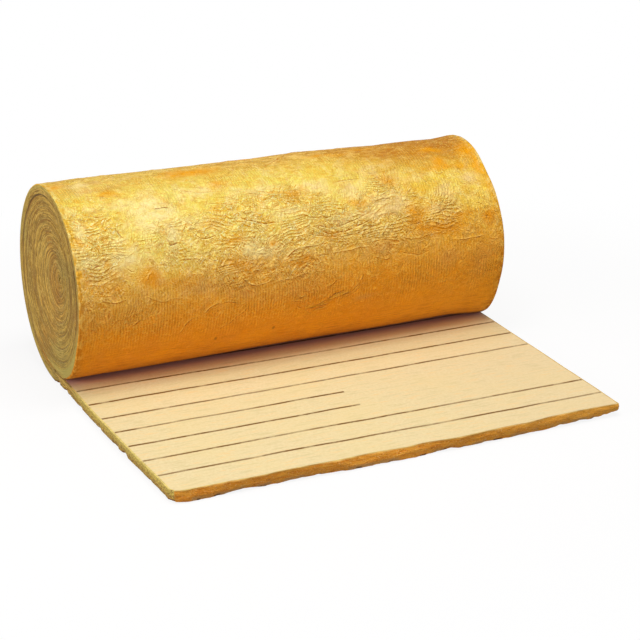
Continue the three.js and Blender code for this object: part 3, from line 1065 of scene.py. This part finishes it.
def skin_last_patches(n):
    """The patches again, over their own texture."""
    mostly = n.mul(n.pale, n.madd(n.speck, 0.34, 0.32))
    n.tint(mostly, n.mix(n.ramp(n.across, -0.1, 0.2), (250, 238, 172), (240, 210, 146)), (236, 188, 104))
    n.tint(n.mul(n.orange, n.madd(n.speck, -0.20, 0.85)), (234, 160, 6), (222, 126, 4))
    n.tint(n.mul(n.grey, 0.36), (206, 148, 84))


def skin_ends(n):
    """Crumbs along the cut ends."""
    margin = n.ramp(n.size(n.across), 0.572, 0.596)
    crumb = n.ramp(n.grain(n.along, 48, n.across, 70, 3, 0.65), 0.47, 0.56)
    n.tint(n.mul(margin, n.mul(crumb, 0.5)), (252, 234, 150), (232, 186, 84))
    n.tint(n.mul(margin, n.madd(crumb, -0.6, 0.6)), (238, 184, 50), (192, 110, 14))


def skin_stripes(n):
    """Low down the ribs show in painted light and shade: pale stripes on their crests, painted shade between.
    """
    near_end = n.mul(n.belly, n.ramp(n.across, -0.05, 0.35, 1.0, 0.65))
    # painted highlight on the ribs' crests
    light = n.mul(n.mul(n.rib_mask, near_end), n.ramp(n.rib, 0.55, 0.95))
    n.tint(n.mul(light, 0.40), (248, 184, 78))
    # painted shade between the ribs
    dark = n.mul(n.mul(n.rib_mask, near_end), n.fall(n.rib, 0.05, 0.40))
    n.tint(n.mul(dark, 0.22), (190, 98, 6))


def skin_dark_bits(n):
    """Two dark bits caught in the felt low down."""
    for across, along in DARK_BITS:
        here = n.combine(n.mul(n.along, 0.75), n.across)
        away = n.vmath("LENGTH", n.vmath("SUBTRACT", here, (along * 0.75, across, 0)))
        n.tint(n.ramp(away, 0.002, 0.0055, 0.6, 0.0), (136, 74, 16))


def skin_foot(n):
    """Along the foot of the roll the felt is smooth, with streaks that run lengthways, and a painted shadow
    darkens it where it meets the sheet.
    """
    foot = n.grain(n.along, 240, n.across, 14, 2, 0.6)
    foot = n.mul(n.ramp(foot, 0.48, 0.66, 0.0, 0.48), n.fall(n.height, 0.08, 0.17))
    n.tint(foot, (190, 104, 14))
    # painted shadow where the roll meets the sheet
    n.tint(n.ramp(n.height, 0.037, 0.051, 0.72, 0.0), (94, 54, 36))


def wool_side():
    """The cut ends of the roll and the two sides of the laid-out sheet."""
    n = Nodes("wool_side")
    n.at = n.uv()
    n.along, n.depth, _ = n.split(n.at)
    n.layer = n.madd(n.noise(n.at, 14, 2, 0.5), 0.010, n.depth)
    layers = n.grain(n.along, 11, n.layer, 300, 3, 0.6)
    strands = n.grain(n.along, 34, n.layer, 560, 2, 0.6)
    broad = n.grain(n.along, 4, n.layer, 90, 2, 0.5)
    grain = n.noise(n.at, 260, 2, 0.6)
    relief = n.madd(strands, 1.6, n.mul(layers, 2.6))
    relief = n.madd(grain, 0.6, relief)
    relief = n.madd(broad, 1.2, relief)
    normal = n.bump(relief, 1.0, 0.0018)
    n.where = n.place()
    n.x, n.y, n.z = n.split(n.where)
    big = n.noise(n.where, 4.5, 3, 0.55)
    n.base = n.mix(n.ramp(layers, 0.36, 0.64), (187, 141, 51), (240, 204, 105))
    n.tint(n.ramp(big, 0.5, 0.68, 0.0, 0.6), (204, 134, 40))
    n.tint(n.ramp(n.noise(n.where, 7.0, 2, 0.5), 0.56, 0.68, 0.0, 0.45), (190, 176, 100))
    n.tint(n.ramp(strands, 0.53, 0.66, 0.0, 0.9), (116, 74, 12))
    n.tint(n.ramp(broad, 0.34, 0.48, 0.6, 0.0), (138, 94, 26))
    n.tint(n.ramp(broad, 0.54, 0.66, 0.0, 0.5), (220, 192, 108))
    rings = n.grain(n.along, 7, n.layer, 125, 2, 0.5)
    n.tint(n.ramp(n.size(n.sub(rings, 0.5)), 0.01, 0.06, 0.62, 0.0), (112, 76, 20))
    side_turns(n)
    side_fibres(n)
    side_outer_turn(n)
    side_sheet(n)
    n.tint(n.wound, n.mix(1.0, n.base, (254, 250, 228), "MULTIPLY"))
    return n.finish(0.9, normal, 0.1, (1.0, 0.95, 0.8))


def side_turns(n):
    """Each turn shows its orange bare face and, on the other side, the pale edge of its paper."""
    patches = n.noise(n.combine(n.mul(n.along, 14), 0.7), 1.0, 3, 0.6)
    n.wound = n.ramp(n.along, 0.86, 0.90)
    rind = n.mul(n.fall(n.depth, 0.0005, 0.0045), n.ramp(patches, 0.40, 0.58, 0.25, 0.85))
    rind = n.mul(rind, n.ramp(n.along, 4.6, 6.2, 1.0, 0.5))
    n.tint(n.mul(rind, n.wound), (148, 86, 20))
    sheet = n.mul(n.ramp(n.depth, WOOL - 0.0055, WOOL - 0.001), n.ramp(patches, 0.45, 0.62, 0.42, 0.05))
    n.tint(n.mul(sheet, n.wound), (206, 184, 116))


def side_fibres(n):
    """Loose fibres across the cut, and dark gaps between them."""
    drag = n.mul(n.noise(n.where, 30, 2, 0.6), 0.05)
    combed = n.combine(n.mul(n.add(n.y, drag), 330), n.mul(n.z, 95))
    fibres = n.noise(combed, 1.0, 3, 0.65, 0.5)
    n.tint(n.mul(n.ramp(fibres, 0.53, 0.64, 0.0, 0.55), n.wound), (236, 206, 126))
    n.tint(n.mul(n.ramp(fibres, 0.34, 0.46, 0.45, 0.0), n.wound), (126, 84, 18))
    freckle = n.ramp(n.noise(n.where, 150, 2, 0.6), 0.62, 0.70, 0.0, 0.35)
    n.tint(n.mul(freckle, n.wound), (108, 62, 20))


def side_outer_turn(n):
    """The outer turn has a pale face, a dark seam where its paper lies and an orange rim."""
    outer = n.mul(n.fall(n.depth, 0.008, 0.020), n.fall(n.along, 2.36, 2.44))
    outer = n.mul(outer, n.ramp(n.along, 0.89, 0.92))
    outside = n.mul(n.fall(n.along, 2.42, 2.50), n.ramp(n.along, 0.95, 1.05))
    face = n.ramp(n.y, AXIS_Y - 0.12, AXIS_Y + 0.02, n.ramp(n.z, 0.20, 0.34, 0.8, 0.25), 0.45)
    n.tint(n.mul(outer, face), (210, 196, 112))
    seam = n.mul(n.ramp(n.depth, WOOL - 0.0048, WOOL - 0.0015), outside)
    n.tint(n.mul(seam, n.ramp(n.z, 0.10, 0.32, 0.25, 0.8)), (90, 60, 20))
    rim = n.fall(n.depth, 0.004, 0.0075)
    rim = n.mul(rim, n.mul(outside, n.ramp(n.y, AXIS_Y - 0.1, AXIS_Y + 0.05)))
    n.tint(n.mul(rim, 0.7), (196, 122, 26))
    mossy = n.mul(n.ramp(n.z, 0.06, 0.24, 0.45, 0.0), n.ramp(n.y, AXIS_Y - 0.2, AXIS_Y + 0.16, 1.0, 0.3))
    n.tint(n.mul(mossy, n.wound), (182, 168, 92))


def side_sheet(n):
    """The sides of the laid-out sheet are paler towards the paper, and torn and blotched."""
    sheet = n.fall(n.y, AXIS_Y - 0.24, AXIS_Y - 0.12)
    sheet = n.mul(sheet, n.fall(n.z, 0.034, 0.05))
    n.tint(n.mul(sheet, 0.70), n.mix(n.ramp(n.z, 0.010, 0.024), (200, 162, 70), (228, 206, 96)))
    edge = n.mul(sheet, n.ramp(n.z, 0.025, 0.031, 0.0, 0.55))
    n.tint(edge, n.mix(n.ramp(n.x, -0.2, 0.2), (238, 222, 138), (214, 172, 116)))
    blotch = n.grain(n.along, 75, n.depth, 190, 3, 0.65)
    blotch = n.mul(n.ramp(blotch, 0.47, 0.58, 0.0, 0.85), n.ramp(n.z, 0.010, 0.028, 1.0, 0.30))
    n.tint(n.mul(sheet, blotch), (146, 102, 36))
    flecks = n.grain(n.along, 210, n.depth, 260, 2, 0.6)
    n.tint(n.mul(sheet, n.ramp(flecks, 0.55, 0.65, 0.0, 0.75)), (240, 220, 122))
    n.tint(n.mul(sheet, n.ramp(flecks, 0.35, 0.45, 0.75, 0.0)), (144, 98, 30))
    n.tint(n.mul(sheet, n.ramp(n.z, 0.0015, 0.006, 0.7, 0.0)), (124, 84, 34))


def wool_cut():
    """The freehand cut across the free end."""
    n = Nodes("wool_cut")
    uv = n.uv()
    x, z, _ = n.split(uv)
    rise = n.madd(n.noise(uv, 18, 2, 0.5), 0.012, z)
    layers = n.grain(x, 20, rise, 300, 4, 0.65)
    clumps = n.grain(x, 60, rise, 120, 3, 0.6, 0.6)
    grain = n.noise(uv, 380, 2, 0.6)
    relief = n.madd(layers, 2.0, n.mul(clumps, 2.2))
    relief = n.madd(grain, 0.8, relief)
    normal = n.bump(relief, 1.0, 0.002)
    n.base = n.mix(n.ramp(layers, 0.3, 0.7), (228, 138, 34), (244, 178, 66))
    n.tint(n.ramp(clumps, 0.6, 0.8, 0.0, 0.6), (250, 212, 136))
    n.tint(n.ramp(clumps, 0.2, 0.46, 0.8, 0.0), (176, 92, 16))
    bits = n.grain(x, 230, rise, 320, 2, 0.6)
    n.tint(n.ramp(bits, 0.60, 0.70, 0.0, 0.7), (252, 218, 150))
    n.tint(n.ramp(bits, 0.28, 0.40, 0.75, 0.0), (150, 74, 10))
    n.tint(n.ramp(z, 0.027, 0.031, 0.0, 0.55), (250, 214, 136))
    n.tint(n.ramp(x, -0.6, 0.0, 0.20, 0.0), (192, 112, 22))
    n.tint(n.ramp(x, 0.1, 0.6, 0.0, 0.26), (255, 200, 84))
    # its lower lip shows the greyer outer felt in places, and painted shade in the hollows under it
    torn = n.noise(n.combine(n.mul(x, 17), 0.4), 1.0, 2, 0.6)
    n.tint(n.mul(n.ramp(torn, 0.46, 0.58), n.ramp(z, 0.005, 0.013, 0.75, 0.0)), (196, 152, 96))
    # painted shade in hollows under the lip
    hole = n.noise(n.combine(n.mul(x, 34), 3.1), 1.0, 2, 0.6)
    n.tint(n.mul(n.ramp(hole, 0.56, 0.64), n.ramp(z, 0.002, 0.006, 0.9, 0.0)), (92, 48, 16))
    return n.finish(0.9, normal, 0.1, (1.0, 0.85, 0.6))


def kraft():
    """The kraft paper, with a painted shadow, darker and mauve, under the roll's overhang."""
    n = Nodes("kraft_paper")
    n.at = n.uv()
    n.along, n.across, _ = n.split(n.at)
    mottle = n.noise(n.at, 130, 4, 0.7)
    fibre = n.grain(n.along, 500, n.across, 110, 3, 0.65)
    cloud = n.noise(n.at, 6, 3, 0.5)
    n.base = n.mix(n.ramp(mottle, 0.3, 0.7), (225, 206, 156), (234, 218, 172))
    n.tint(n.ramp(fibre, 0.5, 0.8, 0.0, 0.35), (219, 190, 128))
    streaks = n.grain(n.along, 95, n.across, 16, 3, 0.6)
    n.tint(n.ramp(streaks, 0.50, 0.68, 0.0, 0.70), (214, 198, 146))
    n.tint(n.ramp(streaks, 0.32, 0.46, 0.60, 0.0), (238, 204, 142))
    n.tint(n.ramp(cloud, 0.35, 0.7, 0.0, 0.35), (233, 212, 152))
    n.tint(n.ramp(n.across, -0.1, 0.6, 0.0, 0.24), (226, 195, 152))
    # painted shadow: a faint darkening some way out from the roll
    dim = n.mul(n.ramp(n.along, 0.54, 0.64), n.fall(n.along, 0.665, 0.715))
    n.tint(dim, n.mix(1.0, n.base, (240, 240, 236), "MULTIPLY"))
    # painted shadow, darker and mauve, under the roll's overhang
    n.tint(n.ramp(n.along, 0.724, 0.798), (197, 143, 136))
    n.tint(printed_lines(n), (110, 70, 0))
    pucker = n.noise(n.at, 9, 2, 0.5)
    relief = n.madd(mottle, 0.12, n.mul(fibre, 0.10))
    relief = n.madd(pucker, 0.6, relief)
    normal = n.bump(relief, 0.5, 0.0012)
    return n.finish(0.72, normal)


def printed_lines(n):
    """Cutting lines, one every 100 mm from the cut. The third and fourth stop half way, at bare paper."""
    wobble = n.madd(n.noise(n.at, 60, 2, 0.5), 0.0006, n.along)
    slip = n.mul(n.ramp(n.across, -0.55, 0.1, 0.012, 0.0), n.ramp(n.along, 0.45, 0.70))
    wobble = n.sub(wobble, slip)
    offset = n.size(n.sub(n.fract(n.madd(wobble, 10.0, 0.5)), 0.5))
    ink = n.fall(offset, 0.034, 0.053)
    ink = n.mul(ink, n.ramp(n.along, 0.05, 0.06))
    ink = n.mul(ink, n.fall(n.size(n.across), 0.5945, 0.5955))
    short = n.mul(n.ramp(n.along, 0.25, 0.251), n.fall(n.along, 0.45, 0.451))
    bare = n.mul(short, n.ramp(n.across, 0.012, 0.0135))
    ink = n.mul(ink, n.sub(1.0, bare))
    worn = n.ramp(n.noise(n.at, 22, 4, 0.65), 0.32, 0.54, 0.55, 1.0)
    worn = n.mul(worn, n.ramp(n.grain(n.along, 9.3, n.across, 2.5, 1, 0.5), 0.35, 0.6, 0.72, 1.0))
    worn = n.mul(worn, n.ramp(n.noise(n.at, 700, 2, 0.6), 0.25, 0.5, 0.75, 1.0))
    return n.mul(ink, worn)


# ---------------------------------------------------------------- the pieces

wool = wool_object()
for material in (wool_skin(), wool_side(), wool_cut()):
    wool.data.materials.append(material)
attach(wool, "root")
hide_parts("glass_wool_blanket")

paper = paper_object()
paper.data.materials.append(kraft())
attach(paper, "root")
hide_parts("kraft_paper_facing")


# ---------------------------------------------------------------- stage, light and camera

FLOOR_HALF, FLOOR_Z = 14.0, -0.001
CAMERA_AT = (-2.27006, -5.42721, 2.24017)
CAMERA_YAW, CAMERA_PITCH, CAMERA_ROLL = 22.924, 19.376, -1.5215
LENS, SENSOR = 135.746, 36.0
WARM = (1.0, 0.97, 0.93)
# name, place, point that it faces, size, watts, colour
LAMPS = [
    ("key", (0.0, -0.60, 3.4), (0.0, 0.0, 0.2), (2.4, 1.4), 87, (1.0, 0.99, 0.97)),
    ("left", (-3.6, -0.2, 1.1), (-0.4, 0.2, 0.2), (2.0, 1.6), 62, WARM),
    ("right", (3.6, -0.1, 0.9), (0.4, 0.2, 0.2), (2.0, 1.6), 27, WARM),
    ("back", (0.6, 3.9, 0.7), (0.0, 0.4, 0.2), (2.4, 1.2), 20, WARM),
    ("front", (-0.9, -4.2, 1.35), (0.05, -0.1, 0.2), (2.0, 1.2), 46.5, WARM),
]


def seen_directly(tree):
    """1 for what the camera sees, also through or off something shiny."""
    path = tree.nodes.new("ShaderNodeLightPath")
    total = path.outputs["Is Camera Ray"]
    for other in ("Is Glossy Ray", "Is Transmission Ray"):
        node = tree.nodes.new("ShaderNodeMath")
        node.operation = "MAXIMUM"
        tree.links.new(total, node.inputs[0])
        tree.links.new(path.outputs[other], node.inputs[1])
        total = node.outputs[0]
    return total


def stage_material(name):
    """Almost white to the camera, with a faint shadow, and a matt grey surface to everything else."""
    n = Nodes(name)
    tree = n.tree
    n.put(n.shader.inputs["Base Color"], colour((150, 148, 146)))
    n.shader.inputs["Roughness"].default_value = 0.9
    glow = tree.nodes.new("ShaderNodeEmission")
    glow.inputs[0].default_value = (1, 1, 1, 1)
    glow.inputs[1].default_value = 1.0
    matt = tree.nodes.new("ShaderNodeBsdfDiffuse")
    matt.inputs[0].default_value = (0.9, 0.9, 0.9, 1)
    pale = tree.nodes.new("ShaderNodeMixShader")
    out = n.vmath("LENGTH", n.place())
    n.put(pale.inputs[0], n.ramp(out, 0.9, 1.9, 0.12, 0.0))
    tree.links.new(glow.outputs[0], pale.inputs[1])
    tree.links.new(matt.outputs[0], pale.inputs[2])
    mix = tree.nodes.new("ShaderNodeMixShader")
    tree.links.new(seen_directly(tree), mix.inputs[0])
    tree.links.new(n.shader.outputs[0], mix.inputs[1])
    tree.links.new(pale.outputs[0], mix.inputs[2])
    tree.links.new(mix.outputs[0], n.output.inputs[0])
    return n.material


def floor():
    mesh = bpy.data.meshes.new("floor")
    corners = [(-1, -1), (1, -1), (1, 1), (-1, 1)]
    mesh.from_pydata([(x * FLOOR_HALF, y * FLOOR_HALF, FLOOR_Z) for x, y in corners], [], [(0, 1, 2, 3)])
    obj = bpy.data.objects.new("floor", mesh)
    bpy.context.scene.collection.objects.link(obj)
    mesh.materials.append(stage_material("floor"))


def area_light(name, at, look, size, power, tint):
    data = bpy.data.lights.new(name, "AREA")
    data.shape = "RECTANGLE"
    data.size, data.size_y = size
    data.energy = power
    data.color = tint
    obj = bpy.data.objects.new(name, data)
    obj.location = at
    obj.rotation_euler = (Vector(look) - Vector(at)).to_track_quat("-Z", "Y").to_euler()
    bpy.context.scene.collection.objects.link(obj)


def world():
    """White to the camera, and a dim pinkish light on everything else."""
    scene_world = bpy.data.worlds.new("world")
    bpy.context.scene.world = scene_world
    scene_world.use_nodes = True
    tree = scene_world.node_tree
    tree.nodes.clear()
    out = tree.nodes.new("ShaderNodeOutputWorld")
    seen = tree.nodes.new("ShaderNodeBackground")
    seen.inputs[0].default_value = (1, 1, 1, 1)
    seen.inputs[1].default_value = 1.0
    lit = tree.nodes.new("ShaderNodeBackground")
    lit.inputs[0].default_value = (1.0, 0.88, 0.90, 1)
    lit.inputs[1].default_value = 0.18
    mix = tree.nodes.new("ShaderNodeMixShader")
    tree.links.new(seen_directly(tree), mix.inputs[0])
    tree.links.new(lit.outputs[0], mix.inputs[1])
    tree.links.new(seen.outputs[0], mix.inputs[2])
    tree.links.new(mix.outputs[0], out.inputs[0])


def camera():
    """The photo's camera, as fitted to the printed lines, the free end and the roll's outline."""
    yaw, pitch, roll = (math.radians(angle) for angle in (CAMERA_YAW, CAMERA_PITCH, CAMERA_ROLL))
    forward = Vector((math.sin(yaw) * math.cos(pitch), math.cos(yaw) * math.cos(pitch), -math.sin(pitch)))
    right = Vector((math.cos(yaw), -math.sin(yaw), 0))
    up = right.cross(forward)
    x_axis = right * math.cos(roll) + up * math.sin(roll)
    y_axis = -right * math.sin(roll) + up * math.cos(roll)
    data = bpy.data.cameras.new("camera")
    data.sensor_width = SENSOR
    data.lens = LENS
    obj = bpy.data.objects.new("camera", data)
    rotation = Matrix((x_axis, y_axis, -forward)).transposed().to_4x4()
    obj.matrix_world = Matrix.Translation(CAMERA_AT) @ rotation
    bpy.context.scene.collection.objects.link(obj)
    bpy.context.scene.camera = obj


floor()
for lamp in LAMPS:
    area_light(*lamp)
world()
camera()
bpy.context.scene.view_settings.view_transform = "Standard"
